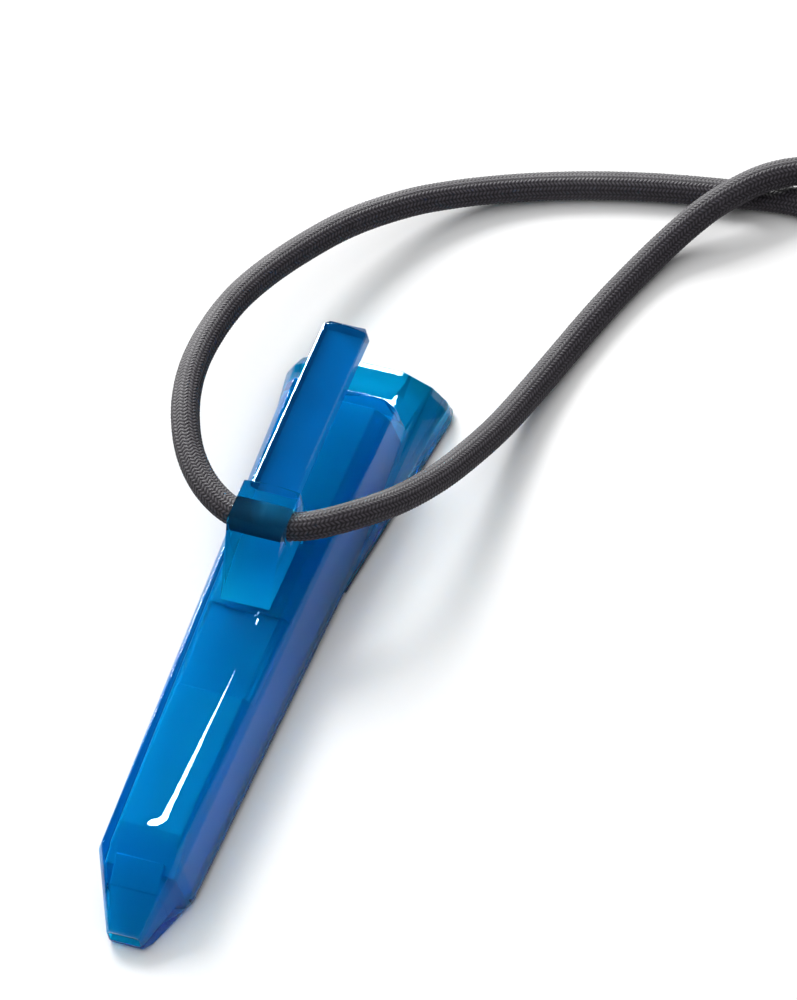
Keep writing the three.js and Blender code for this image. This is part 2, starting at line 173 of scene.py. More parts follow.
def cord_mesh(name, points, thickness=CORD_R):
    """A braided tube: slanted stitches in rows that lean to alternate sides."""
    line, length = catmull(points, STITCH / RINGS_PER_STITCH)
    n = len(line)
    tangent = np.gradient(line, axis=0)
    tangent /= np.linalg.norm(tangent, axis=1)[:, None]
    normal = np.zeros_like(line)
    first = np.cross(tangent[0], [0.0, 0.0, 1.0])
    normal[0] = first / np.linalg.norm(first)
    for i in range(1, n):                            # carried along without twist
        v = normal[i - 1] - tangent[i] * (normal[i - 1] @ tangent[i])
        normal[i] = v / np.linalg.norm(v)
    side = np.cross(tangent, normal)
    s = np.linspace(0, length, n)
    u = np.arange(SIDES) / SIDES
    row = u * ROWS
    lean = np.where(np.floor(row) % 2 == 0, 1.0, -1.0)
    across = row % 1.0
    phase = s[:, None] / STITCH + (lean * (across - 0.5) * STITCH_LEAN)[None, :]
    bump = np.abs(np.cos(np.pi * phase)) ** 0.8 * (0.45 + 0.55 * np.sin(np.pi * across) ** 0.6)[None, :]
    radius = thickness + CROWN_RISE - STITCH_DEPTH * (1 - bump)
    a = 2 * np.pi * u
    ring = (np.cos(a)[None, :, None] * normal[:, None, :] + np.sin(a)[None, :, None] * side[:, None, :])
    co = (line[:, None, :] + ring * radius[:, :, None]) * MM
    verts = co.reshape(-1, 3)
    i, j = np.meshgrid(np.arange(n - 1), np.arange(SIDES), indexing="ij")
    jn = (j + 1) % SIDES
    faces = np.stack([i * SIDES + j, i * SIDES + jn, (i + 1) * SIDES + jn, (i + 1) * SIDES + j], -1)
    faces = faces.reshape(-1, 4)
    mesh = bpy.data.meshes.new(name)
    caps = [list(range(SIDES))[::-1], list(range((n - 1) * SIDES, n * SIDES))]
    mesh.from_pydata(verts.tolist(), [], faces.tolist() + caps)
    uv = mesh.uv_layers.new(name="cord_uv")
    uu = np.stack([u[j], u[j], u[j], u[j]], -1)
    uu[..., 1] += 1 / SIDES
    uu[..., 2] += 1 / SIDES
    vv = np.stack([s[i], s[i], s[i + 1], s[i + 1]], -1)
    flat = np.stack([uu, vv], -1).reshape(-1, 2)
    capped = np.zeros((2 * SIDES, 2))
    uv.data.foreach_set("uv", np.vstack([flat, capped]).astype(np.float32).ravel())
    mesh.polygons.foreach_set("use_smooth", np.ones(len(mesh.polygons), bool))
    mesh.update()
    obj = link(bpy.data.objects.new(name, mesh))
    path = [tuple(p * MM) for p in line[::PATH_EVERY]] + [tuple(line[-1] * MM)]
    return obj, path, length * MM


KNOT_CORD_R = 2.3                                    # the cord is pulled thin where it is wrapped tight
KNOT_TURNS = 2.75
KNOT_STEPS = 66
KNOT_START = 0.6                                     # angle of its first point, in radians
KNOT_TUCK = 0.09                                     # share of the length that is tucked in at either end
KNOT_GAP = 0.1                                       # between the wraps and the room that the knot has


def knot_points():
    """Tight wraps round both strands, with their two ends tucked in."""
    reach = KNOT_HALF - KNOT_CORD_R - KNOT_GAP
    wrap = KNOT[2] - KNOT_CORD_R - KNOT_GAP
    points = []
    for i in range(KNOT_STEPS + 1):
        k = i / KNOT_STEPS
        tuck = smooth(min(k, 1 - k) / KNOT_TUCK)
        radius = wrap * (0.45 + 0.55 * tuck)
        a = 2 * math.pi * KNOT_TURNS * k + KNOT_START
        x = KNOT[0] + reach * (2 * k - 1)
        points.append((x, KNOT[1] + radius * math.cos(a), KNOT[2] + radius * math.sin(a)))
    return points


left_cord, left_path, left_length = cord_mesh("cord_strand_left", LEFT_ROUTE + coil_points() + TAIL_ROUTE)
right_cord, right_path, right_length = cord_mesh("cord_strand_right", RIGHT_ROUTE)
knot_wraps, _, _ = cord_mesh("cord_knot_wraps", knot_points(), KNOT_CORD_R)

# ---- shape helpers ------------------------------------------------------------------------------------
OUTSIDE, INSIDE, FAR_INSIDE, EYE_SKIN = range(4)     # the mouldings' material slots


def hull(name, points):
    """The convex hull of points in mm, as an object in metres with its flat faces whole."""
    bm = bmesh.new()
    for p in points:
        bm.verts.new(Vector(p) * MM)
    made = bmesh.ops.convex_hull(bm, input=bm.verts, use_existing_faces=False)
    spare = [g for g in made["geom_interior"] + made["geom_unused"] if isinstance(g, bmesh.types.BMVert)]
    bmesh.ops.delete(bm, geom=[v for v in set(spare) if v.is_valid], context="VERTS")
    bmesh.ops.remove_doubles(bm, verts=bm.verts, dist=1e-7)
    flatten(bm)
    mesh = bpy.data.meshes.new(name)
    bm.to_mesh(mesh)
    bm.free()
    for _ in (OUTSIDE, INSIDE, FAR_INSIDE):
        mesh.materials.append(None)
    return link(bpy.data.objects.new(name, mesh))


def inner(obj, slot=INSIDE):
    """Marks a cutter, so that the faces it leaves get another material."""
    obj.data.polygons.foreach_set("material_index", np.full(len(obj.data.polygons), slot, np.int32))
    return obj


def flatten(bm, degrees=0.6):
    bmesh.ops.dissolve_limit(bm, angle_limit=math.radians(degrees), verts=bm.verts, edges=bm.edges,
                             use_dissolve_boundaries=False, delimit=set())
    bmesh.ops.recalc_face_normals(bm, faces=bm.faces)


def boolean(a, b, operation):
    """a changed by b with the exact solver; b goes."""
    mod = a.modifiers.new("cut", "BOOLEAN")
    mod.operation = operation
    mod.solver = "EXACT"
    mod.material_mode = "INDEX"
    mod.object = b
    bpy.context.view_layer.update()
    dg = bpy.context.evaluated_depsgraph_get()
    mesh = bpy.data.meshes.new_from_object(a.evaluated_get(dg))
    a.modifiers.clear()
    old = a.data
    a.data = mesh
    bpy.data.meshes.remove(old)
    old_b = b.data
    bpy.data.objects.remove(b)
    bpy.data.meshes.remove(old_b)
    return a


def round_edges(obj, radius, angle=14, segments=3, merge=0.002):
    """Rounds every edge sharper than the angle, after merging corners that lie closer than merge."""
    bm = bmesh.new()
    bm.from_mesh(obj.data)
    bmesh.ops.remove_doubles(bm, verts=bm.verts, dist=merge * MM)
    flatten(bm)
    edges = [e for e in bm.edges if len(e.link_faces) == 2 and e.calc_face_angle(0) > math.radians(angle)]
    bmesh.ops.bevel(bm, geom=edges, offset=radius * MM, offset_type="OFFSET", segments=segments, profile=0.5,
                    affect="EDGES", clamp_overlap=True, material=-1)
    bmesh.ops.remove_doubles(bm, verts=bm.verts, dist=1e-6)
    bm.to_mesh(obj.data)
    bm.free()
    return obj


def finish_shape(obj, name):
    """Smooth shading whose normals follow the large faces."""
    obj.name = name
    obj.data.name = name
    obj.data.polygons.foreach_set("use_smooth", np.ones(len(obj.data.polygons), bool))
    weighted = obj.modifiers.new("normals", "WEIGHTED_NORMAL")
    weighted.mode = "FACE_AREA"
    weighted.weight = 60
    weighted.keep_sharp = False
    return obj


def section(y, pairs):
    return [(sign * x, y, z) for x, z in pairs for sign in (1, -1)]


def box(name, x0, x1, y0, y1, z0, z1):
    return hull(name, [(x, y, z) for x in (x0, x1) for y in (y0, y1) for z in (z0, z1)])


# ---- body, in the millimetres of the CAD --------------------------------------------------------------
HALF_LENGTH = 59.0
WALL = 1.8
FLOOR = 1.6
BEVEL_Y = -47.5
WING_Y = 18.5
TOP_END_Y = 49.3
LIP_LENGTH = 2.4
BODY_HALF = (8.4, 11.8)                              # half width of the body at BEVEL_Y and at TOP_END_Y
TOP_HALF = (6.8, 8.4)                                # and of its flat top
TOP_Z = (13.8, 16.4)                                 # and the height of that top
BELL_HALF = 15.9
BELL_CROWN = 10.8
LIP_INSET = 0.7
TIP_HALF, TIP_TOP, TIP_LIFT = 3.3, 4.8, 0.6
EDGE = 0.42                                          # radius of the moulding's edges
SEAM = FLOOR + 0.08                                  # underside of the upper moulding


def along(y):
    return (y - BEVEL_Y) / (TOP_END_Y - BEVEL_Y)


def body_half(y):
    return lerp(*BODY_HALF, along(y))


def top_half(y):
    return lerp(*TOP_HALF, along(y))


def top_z(y):
    return lerp(*TOP_Z, along(y))


def body_section(y, inset=0.0):
    return section(y, [
        (body_half(y) - 0.7 - inset, inset),
        (body_half(y) - inset, 2.0 + inset),
        ((body_half(y) + top_half(y)) / 2 + 0.3 - inset, top_z(y) - 2.6 - inset * 0.5),
        (top_half(y) - inset * 0.6, top_z(y) - inset),
    ])


def bell_section(y, inset=0.0):
    k = (y - WING_Y) / (HALF_LENGTH - LIP_LENGTH - WING_Y)
    half = lerp(body_half(WING_Y), BELL_HALF, k)
    return section(y, [
        (half - 0.4 - inset, 0),
        (half - inset, lerp(1.2, 1.6, k)),
        (half - lerp(0, 0.8, k) - inset, lerp(1.6, 4.4, k) - inset * 0.4),
        (half - lerp(0.4, 2.9, k) - inset, lerp(1.9, 7.8, k) - inset * 0.8),
        (lerp(3, 8.2, k) - inset * 0.6, lerp(2.2, BELL_CROWN, k) - inset),
    ])


def outline(tip=True):
    """The outside of the call: faceted body, sloping mouthpiece end and flared bell."""
    points = body_section(BEVEL_Y) + body_section(TOP_END_Y)
    if tip:
        points += section(-HALF_LENGTH, [(TIP_HALF - 0.5, TIP_LIFT), (TIP_HALF, TIP_LIFT + 0.8),
                                          (TIP_HALF, TIP_TOP - 1.2), (TIP_HALF - 0.7, TIP_TOP)])
        points += section(-HALF_LENGTH + 1.6, [(4.0, 0)])
    body = round_edges(hull("outline", points), EDGE)
    rim = bell_section(HALF_LENGTH - LIP_LENGTH)
    lip = [(x - math.copysign(LIP_INSET, x), HALF_LENGTH, z - LIP_INSET if z > 1 else z) for x, _, z in rim]
    bell = round_edges(hull("bell", bell_section(WING_Y) + rim + lip), EDGE, merge=0.5)
    return boolean(body, bell, "UNION")


GROOVE_Y0, GROOVE_Y1 = -42.3, 2.9
GROOVE_HALF = (2.8, 3.6)                             # half width at its two ends
GROOVE_DEPTH = (0.8, 0.12)
GROOVE_END_DEPTH = 0.32                              # more at its far end
GROOVE_SLOPE = 0.40                                  # of its side walls
GROOVE_CORNER = 1.3                                  # radius of its two far corners
GROOVE_INSETS = (-0.5, -0.12, 0.0, 0.08, 0.16, 0.26, 0.4, 0.6, 0.8, 1.0, 1.2, 1.4, 1.55, 1.7, 1.85, 2.0, 2.15,
                 2.3, 2.45, 2.6, 2.75)               # loops from over the rim to the floor's middle line
SIDE_STEPS, CORNER_STEPS, END_STEPS = 60, 8, 28      # along a side, a far corner and the round near end
SKIM = 0.008                                         # the cutter's rim clears the flat top by this much


def soft_min(a, b, k):
    """The lesser of two, with the corner between them rounded by k."""
    h = max(k - abs(a - b), 0.0) / k
    return min(a, b) - h * h * k / 4


def soft_max(a, b, k):
    return -soft_min(-a, -b, k)


def groove_loop(inset):
    """One closed loop at an inset from the recess's rim: right side, far end, left side, near end."""
    low_half, high_half = GROOVE_HALF
    low_centre = GROOVE_Y0 + low_half
    r_low = low_half - inset
    r_high = max(GROOVE_CORNER - inset, 0.12)
    cx, cy = high_half - inset - r_high, GROOVE_Y1 - inset - r_high
    half = [(lerp(r_low, cx + r_high, i / SIDE_STEPS), lerp(low_centre, cy, i / SIDE_STEPS))
            for i in range(SIDE_STEPS)]
    for i in range(CORNER_STEPS + 1):
        a = math.pi / 2 * i / CORNER_STEPS
        half.append((cx + r_high * math.cos(a), cy + r_high * math.sin(a)))
    left = [(-x, y) for x, y in reversed(half)]
    near = []
    for i in range(1, END_STEPS):
        a = math.pi * (1 + i / END_STEPS)
        near.append((r_low * math.cos(a), low_centre + r_low * math.sin(a)))
    return half + left + near


def groove_cutter():
    """A closed block whose underside is the recess: a rim over the flat top, sloping walls and a floor."""
    faces = []
    count = len(groove_loop(0.0))
    verts = [Vector((x, y, top_z(y) + 4)) * MM for x, y in groove_loop(GROOVE_INSETS[0])]
    for inset in GROOVE_INSETS:
        for x, y in groove_loop(inset):
            k = min(max((y - GROOVE_Y0) / (GROOVE_Y1 - GROOVE_Y0), 0.0), 1.0)
            floor_depth = lerp(*GROOVE_DEPTH, min(k / 0.85, 1.0))
            floor_depth += GROOVE_END_DEPTH * smooth((k - 0.9) / 0.08)
            wall = soft_max(inset * GROOVE_SLOPE, -0.03, 0.08)
            verts.append(Vector((x, y, top_z(y) - soft_min(wall, floor_depth, 0.1) + SKIM)) * MM)
    rows = len(GROOVE_INSETS) + 1
    for r in range(rows - 1):
        for i in range(count):
            n = (i + 1) % count
            faces.append((r * count + i, r * count + n, (r + 1) * count + n, (r + 1) * count + i))
    last = (rows - 1) * count
    half = SIDE_STEPS + CORNER_STEPS + 1             # points of the right half; the left half mirrors them
    for i in range(half - 1):
        a, b = last + i, last + i + 1
        c, d = last + 2 * half - 2 - i, last + 2 * half - 1 - i
        faces.append((a, b, c, d))
    faces.append(tuple([last] + [last + 2 * half - 1 + i for i in range(END_STEPS)]))
    faces.append(tuple(range(count)))
    mesh = bpy.data.meshes.new("groove")
    mesh.from_pydata(verts, [], faces)
    bm = bmesh.new()
    bm.from_mesh(mesh)
    bmesh.ops.recalc_face_normals(bm, faces=bm.faces)
    bm.to_mesh(mesh)
    bm.free()
    return link(bpy.data.objects.new("groove", mesh))


ROOF_FRONT = 4.6                                     # thickness of the chamber's roof at the mouthpiece
FRONT_END_Y = -42.0                                  # where it has thinned to WALL
STEP_Y, STEP_END_Y = -13.6, 3.2                      # the roof is thicker again between these two stations
ROOF_STEP = 2.7
WAY_HALF, WAY_TOP = 6.4, 6.0                         # the opening that the insert slides through
WIDE = 40.0                                          # half width of the blocks that trim the mouldings


def chamber_part(stations, wall=WALL):
    """The space inside the walls through stations of (y, roof thickness), open below."""
    points = []
    for y, roof in stations:
        points += [(x, y, max(min(z, top_z(y) - roof), 0)) for x, _, z in body_section(y, wall)]
        points += section(y, [(body_half(y) - wall, -1)])
    return hull("chamber", points)


def make_shell():
    shell = outline()
    under = box("under", -WIDE, WIDE, BEVEL_Y, 2 * WIDE, -5, SEAM)
    shell = boolean(shell, under, "DIFFERENCE")
    mouth_end = BEVEL_Y - 0.3
    hollows = [
        chamber_part([(BEVEL_Y - 1, ROOF_FRONT), (FRONT_END_Y, WALL), (STEP_Y, WALL)]),
        chamber_part([(STEP_Y - 1, ROOF_STEP), (STEP_END_Y + 1, ROOF_STEP)], WALL + 0.06),
        chamber_part([(STEP_END_Y, WALL), (TOP_END_Y - WALL, WALL)]),
        hull("throat", section(WING_Y + 6, [(8.6, -1), (8.6, 2.2), (4, 4)])
             + section(HALF_LENGTH + 1, [(13.6, -1), (13.6, 4), (11.8, 6.2), (8, 8.6)])),
        box("way", -WAY_HALF, WAY_HALF, WING_Y, HALF_LENGTH + 1, -1.1, WAY_TOP),
        hull("well", section(mouth_end - 4.2, [(4.4, 2.0), (4.4, 8.2)])
             + section(mouth_end + 1, [(5.4, 2.0), (4.6, 10.6)])),
        hull("slot", section(-HALF_LENGTH - 1, [(2.7, 1.5), (2.7, 3.2)])
             + section(mouth_end - 4, [(4.36, 2.04), (4.36, 8.1)])),
    ]
    for cutter in hollows:
        # the throat's walls take the bell's inner skin, which is painted lighter as light
        slot = FAR_INSIDE if cutter.name.startswith("throat") else INSIDE
        shell = boolean(shell, inner(round_edges(cutter, 0.3, segments=2), slot), "DIFFERENCE")
    shell = boolean(shell, groove_cutter(), "DIFFERENCE")
    return finish_shape(shell, "body_moulding")


def make_plate():
    plate = outline(tip=False)
    above = inner(box("above", -WIDE, WIDE, -2 * WIDE, 2 * WIDE, FLOOR, HALF_LENGTH + 1))
    before = box("before", -WIDE, WIDE, -2 * WIDE, BEVEL_Y + 0.05, -5, HALF_LENGTH + 1)
    plate = boolean(boolean(plate, above, "DIFFERENCE"), before, "DIFFERENCE")
    return finish_shape(plate, "base_cover")


# ---- clip ---------------------------------------------------------------------------------------------
CLIP_HALF = 4.2
CLIP_TOP = 26.4
CLIP_UNDER = 21.6
CLIP_END_Y = 57.2
ROOT_START_Y = 3.4
ROOT_END_Y = 21.5
ROOT_HALF = 5.3
EYE_Y, EYE_Z, EYE_RADIUS = 16.3, 22.7, 2.72
EYE_SIDES = 48
BLOCK_Y = EYE_Y - 3.4                                # where the ramp meets the block round the eye
CREST_Y = EYE_Y - 2.4                                # where the ridge of the block and bar starts
CHEEK_DROP, CREST_DROP = 0.7, 0.4                    # from the ridge to the block's sides and shoulders


def foot(y):
    """Height of the clip's underside just over the body's flat top."""
    return top_z(y) + 0.06


def crest(y):
    return section(y, [(CLIP_HALF, CLIP_TOP - CREST_DROP)]) + [(0, y, CLIP_TOP)]


def bar(y):
    """Section of the free bar: chamfered below, a low gable above."""
    return section(y, [
        (CLIP_HALF - 1.0, CLIP_UNDER),
        (CLIP_HALF, CLIP_UNDER + 1.0),
        (CLIP_HALF, CLIP_TOP - 1.8),
        (CLIP_HALF - 0.2, CLIP_TOP - 1.3),
        (CLIP_HALF - 0.6, CLIP_TOP - 1.1),
    ]) + [(0, y, CLIP_TOP)]


def make_clip():
    cheek = CLIP_TOP - CHEEK_DROP
    ramp_half = ROOT_HALF - 0.1
    ramp = hull("ramp", section(ROOT_START_Y, [(4.6, foot(ROOT_START_Y)), (3.8, foot(ROOT_START_Y) + 0.4)])
                + section(BLOCK_Y, [(4.8, foot(BLOCK_Y)), (ramp_half, EYE_Z - 3.6), (ramp_half, cheek)])
                + crest(CREST_Y)
                + section(EYE_Y, [(4.8, foot(EYE_Y)), (ramp_half, cheek)]))
    block = []
    for y in (BLOCK_Y, ROOT_END_Y):
        block += section(y, [(4.8, foot(y)), (ROOT_HALF, EYE_Z - 3.2), (ROOT_HALF, cheek)])
    block = hull("block", block + crest(CREST_Y) + crest(ROOT_END_Y))
    nose = CLIP_HALF - 0.9
    arm = hull("arm", bar(EYE_Y + 4) + bar(CLIP_END_Y - 1.2)
               + section(CLIP_END_Y, [(nose, CLIP_UNDER + 0.6), (nose, CLIP_TOP - 2.0)]))
    clip = boolean(boolean(ramp, block, "UNION"), arm, "UNION")
    clip = round_edges(clip, 0.3)
    eye = []
    for i in range(EYE_SIDES):
        a = 2 * math.pi * i / EYE_SIDES
        eye += [(x, EYE_Y + EYE_RADIUS * math.cos(a), EYE_Z + EYE_RADIUS * math.sin(a)) for x in (-10, 10)]
    clip = boolean(clip, hull("eye", eye), "DIFFERENCE")
    for face in clip.data.polygons:                  # the underside and the eye are dull; the bar's underside takes painted shade, the root's underside painted light and the eye's wall painted shade
        y, z = face.center.y / MM, face.center.z / MM
        if math.hypot(y - EYE_Y, z - EYE_Z) < EYE_RADIUS + 0.05 and abs(face.normal.x) < 0.3:
            face.material_index = EYE_SKIN
        elif face.normal.z < -0.5:
            face.material_index = INSIDE if y > ROOT_END_Y else FAR_INSIDE
        else:
            face.material_index = OUTSIDE
    return finish_shape(clip, "clip_moulding")


# ---- materials ----------------------------------------------------------------------------------------


def new_material(name):
    material = bpy.data.materials.new(name)
    material.use_nodes = True
    tree = material.node_tree
    shader = tree.nodes["Principled BSDF"]
    return material, tree, shader


def node(tree, kind, **inputs):
    made = tree.nodes.new(kind)
    for key, value in inputs.items():
        made.inputs[key.replace("_", " ")].default_value = value
    return made


def plastic(name, tint, density, roughness=0.05):
    """Tinted clear moulded plastic: colour builds up with thickness."""
    material, tree, shader = new_material(name)
    nodes, links = tree.nodes, tree.links
    shader.inputs["Transmission Weight"].default_value = 1.0
    shader.inputs["IOR"].default_value = 1.4
    shader.inputs["Specular Tint"].default_value = (0.28, 0.66, 1.0, 1)
    coords = nodes.new("ShaderNodeTexCoord")
    flow = node(tree, "ShaderNodeTexNoise", Scale=140.0, Detail=4.0)
    links.new(coords.outputs["Object"], flow.inputs["Vector"])
    rough = node(tree, "ShaderNodeMapRange")
    rough.inputs["To Min"].default_value = roughness * 0.5
    rough.inputs["To Max"].default_value = roughness * 1.6
    links.new(flow.outputs["Fac"], rough.inputs["Value"])
    links.new(rough.outputs["Result"], shader.inputs["Roughness"])
    colour = node(tree, "ShaderNodeMix")
    colour.data_type = "RGBA"
    colour.inputs["A"].default_value = (*tint, 1)
    colour.inputs["B"].default_value = (*[min(1.0, c * 1.06 + 0.004) for c in tint], 1)
    links.new(flow.outputs["Fac"], colour.inputs["Factor"])
    links.new(colour.outputs["Result"], shader.inputs["Base Color"])
    bump = node(tree, "ShaderNodeBump", Strength=0.06, Distance=0.00004)
    fine = node(tree, "ShaderNodeTexNoise", Scale=420.0, Detail=2.0)
    links.new(coords.outputs["Object"], fine.inputs["Vector"])
    links.new(fine.outputs["Fac"], bump.inputs["Height"])
    links.new(bump.outputs["Normal"], shader.inputs["Normal"])
    volume = nodes.new("ShaderNodeVolumeAbsorption")
    volume.inputs["Color"].default_value = (*density[0], 1)
    volume.inputs["Density"].default_value = density[1]
    links.new(volume.outputs["Volume"], nodes["Material Output"].inputs["Volume"])
    return material


def inner_skin(name, colour, through):
    """The dull inside of the mould: it scatters light back and lets part of it through."""
    material, tree, shader = new_material(name)
    nodes, links = tree.nodes, tree.links
    coords = nodes.new("ShaderNodeTexCoord")
    flow = node(tree, "ShaderNodeTexNoise", Scale=90.0, Detail=3.0)
    links.new(coords.outputs["Object"], flow.inputs["Vector"])
    tone = node(tree, "ShaderNodeMix")
    tone.data_type = "RGBA"
    tone.inputs["A"].default_value = (*[c * 0.93 for c in colour], 1)
    tone.inputs["B"].default_value = (*[min(1.0, c * 1.07) for c in colour], 1)
    links.new(flow.outputs["Fac"], tone.inputs["Factor"])
    links.new(tone.outputs["Result"], shader.inputs["Base Color"])
    shader.inputs["Roughness"].default_value = 0.55
    shader.inputs["Specular IOR Level"].default_value = 0.1
    glow = nodes.new("ShaderNodeBsdfTranslucent")
    links.new(tone.outputs["Result"], glow.inputs["Color"])
    mixed = nodes.new("ShaderNodeMixShader")
    mixed.inputs["Fac"].default_value = through
    links.new(shader.outputs["BSDF"], mixed.inputs[1])
    links.new(glow.outputs["BSDF"], mixed.inputs[2])
    links.new(mixed.outputs["Shader"], nodes["Material Output"].inputs["Surface"])
    return material


def braid(name):
    """Woven polyester sleeve, dull: stitch crowns painted pale as lit, and the gaps between stitches and rows
    painted dark as shade.
    """
    material, tree, shader = new_material(name)
    nodes, links = tree.nodes, tree.links
    uv = nodes.new("ShaderNodeUVMap")
    uv.uv_map = "cord_uv"
    split = nodes.new("ShaderNodeSeparateXYZ")
    links.new(uv.outputs["UV"], split.inputs["Vector"])

    def math_node(operation, a, b=None, c=None):
        made = nodes.new("ShaderNodeMath")
        made.operation = operation
        for index, value in enumerate((a, b, c)):
            if value is None:
                continue
            if isinstance(value, (int, float)):
                made.inputs[index].default_value = value
            else:
                links.new(value, made.inputs[index])
        return made.outputs[0]

    row = math_node("MULTIPLY", split.outputs["X"], float(ROWS))
    across = math_node("FRACT", row)
    parity = math_node("MODULO", math_node("FLOOR", row), 2.0)
    lean = math_node("SUBTRACT", 1.0, math_node("MULTIPLY", parity, 2.0))
    slant = math_node("MULTIPLY", math_node("MULTIPLY", lean, math_node("SUBTRACT", across, 0.5)),
                      STITCH_LEAN)
    phase = math_node("ADD", math_node("DIVIDE", split.outputs["Y"], STITCH), slant)
    crown = math_node("ABSOLUTE", math_node("COSINE", math_node("MULTIPLY", phase, math.pi)))
    edge = math_node("SINE", math_node("MULTIPLY", across, math.pi))
    # painted shade: this stitch relief also darkens the colour in the gaps between stitches and rows and
    # lightens the crowns
    stitch_relief_and_shade = math_node("MULTIPLY", crown, math_node("ADD", 0.35, math_node("MULTIPLY", edge, 0.65)))
    noise = node(tree, "ShaderNodeTexNoise", Scale=900.0, Detail=3.0)
    coords = nodes.new("ShaderNodeTexCoord")
    links.new(coords.outputs["Object"], noise.inputs["Vector"])
    worn = node(tree, "ShaderNodeTexNoise", Scale=60.0, Detail=2.0)
    links.new(coords.outputs["Object"], worn.inputs["Vector"])
    ramp = nodes.new("ShaderNodeValToRGB")
    ramp.color_ramp.elements[0].position = 0.25
    ramp.color_ramp.elements[0].color = (0.017, 0.015, 0.018, 1)
    ramp.color_ramp.elements[1].position = 1.0
    ramp.color_ramp.elements[1].color = (0.068, 0.062, 0.074, 1)
    grain = math_node("ADD", 0.55, math_node("MULTIPLY", noise.outputs["Fac"], 0.9))
    mixed = math_node("MULTIPLY", stitch_relief_and_shade, grain)
    links.new(mixed, ramp.inputs["Fac"])
    links.new(ramp.outputs["Color"], shader.inputs["Base Color"])
    rough = node(tree, "ShaderNodeMapRange")
    rough.inputs["To Min"].default_value = 0.62
    rough.inputs["To Max"].default_value = 0.9
    links.new(worn.outputs["Fac"], rough.inputs["Value"])
    links.new(rough.outputs["Result"], shader.inputs["Roughness"])
    bump = node(tree, "ShaderNodeBump", Strength=0.5, Distance=0.0002)
    links.new(stitch_relief_and_shade, bump.inputs["Height"])
    links.new(bump.outputs["Normal"], shader.inputs["Normal"])
    shader.inputs["Specular IOR Level"].default_value = 0.15
    shader.inputs["Sheen Weight"].default_value = 0.05
    shader.inputs["Sheen Roughness"].default_value = 0.5
    return material


def simple(name, colour, roughness, scale=300.0, spread=0.25, bump_strength=0.1):
    """A dull moulded or cut material with a mottled colour and a fine surface."""
    material, tree, shader = new_material(name)
    nodes, links = tree.nodes, tree.links
    coords = nodes.new("ShaderNodeTexCoord")
    noise = node(tree, "ShaderNodeTexNoise", Scale=scale, Detail=5.0)
    links.new(coords.outputs["Object"], noise.inputs["Vector"])
    ramp = nodes.new("ShaderNodeValToRGB")
    ramp.color_ramp.elements[0].color = (*[c * (1 - spread) for c in colour], 1)
    ramp.color_ramp.elements[1].color = (*[min(1.0, c * (1 + spread)) for c in colour], 1)
    links.new(noise.outputs["Fac"], ramp.inputs["Fac"])
    links.new(ramp.outputs["Color"], shader.inputs["Base Color"])
    shader.inputs["Roughness"].default_value = roughness
    bump = node(tree, "ShaderNodeBump", Strength=bump_strength, Distance=0.0001)
    links.new(noise.outputs["Fac"], bump.inputs["Height"])
    links.new(bump.outputs["Normal"], shader.inputs["Normal"])
    return material


def paint(obj, *materials):
    """Gives the object its materials; its faces keep the slots they had."""
    slots = np.zeros(len(obj.data.polygons), np.int32)
    obj.data.polygons.foreach_get("material_index", slots)
    obj.data.materials.clear()
    for material in materials:
        obj.data.materials.append(material)
    obj.data.polygons.foreach_set("material_index", np.minimum(slots, len(materials) - 1))


BLUE_TINT = (0.30, 0.88, 0.98)
BLUE_VOLUME = ((0.0, 0.80, 0.95), 330.0)             # colour that gets through, and density
CLIP_DENSITY_PAINTED_LIGHTER = 170.0                                 # the clip is solid, so it takes less; this paints it lighter than the body's same plastic
blue = plastic("blue_plastic", BLUE_TINT, BLUE_VOLUME, roughness=0.03)
# painted light: the clip is a lighter copy of the body's plastic
blue_clip = plastic("blue_clip", BLUE_TINT, (BLUE_VOLUME[0], CLIP_DENSITY_PAINTED_LIGHTER), roughness=0.03)
blue_inside = inner_skin("blue_plastic_inside", (0.004, 0.41, 0.66), 0.62)
# painted light: the bell's inside is a lighter copy of the inner skin
bell_inside_painted_light = inner_skin("blue_bell_inside", (0.005, 0.74, 1.0), 0.6)
# painted shade: the bar's underside is a darker copy of the inner skin
bar_underside_painted_shade = inner_skin("blue_bar_inside", (0.005, 0.13, 0.33), 0.4)
# painted light: the root's underside is a lighter copy of the inner skin
root_underside_painted_light = inner_skin("blue_root_inside", (0.005, 0.55, 0.95), 0.5)
# painted shade: the wall of the eye round the cord is a dark copy of the inner skin
eye_wall_painted_shade = inner_skin("blue_eye_inside", (0.06, 0.16, 0.30), 0.7)
blue_deep = plastic("blue_insert", (0.60, 0.90, 0.98), BLUE_VOLUME, roughness=0.35)
film = plastic("reed_film", (0.85, 0.92, 0.96), ((0.6, 0.8, 0.9), 60.0), roughness=0.2)
rubber = simple("wedge_rubber", (0.05, 0.07, 0.10), 0.7)
silicone = simple("seal_silicone", (0.02, 0.10, 0.25), 0.45)
sleeve = braid("cord_sleeve")

shell = make_shell()
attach(shell, "call_body")
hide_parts("upper_shell", "mouthpiece")
paint(shell, blue, blue_inside, bell_inside_painted_light)
plate = make_plate()
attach(plate, "call_body")
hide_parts("base_plate")
paint(plate, blue, blue_inside)
clip = make_clip()
paint(clip, blue_clip, bar_underside_painted_shade, root_underside_painted_light, eye_wall_painted_shade)
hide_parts("clip_root", "clip_arm")
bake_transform(clip)

BEVEL_ANGLE = 30

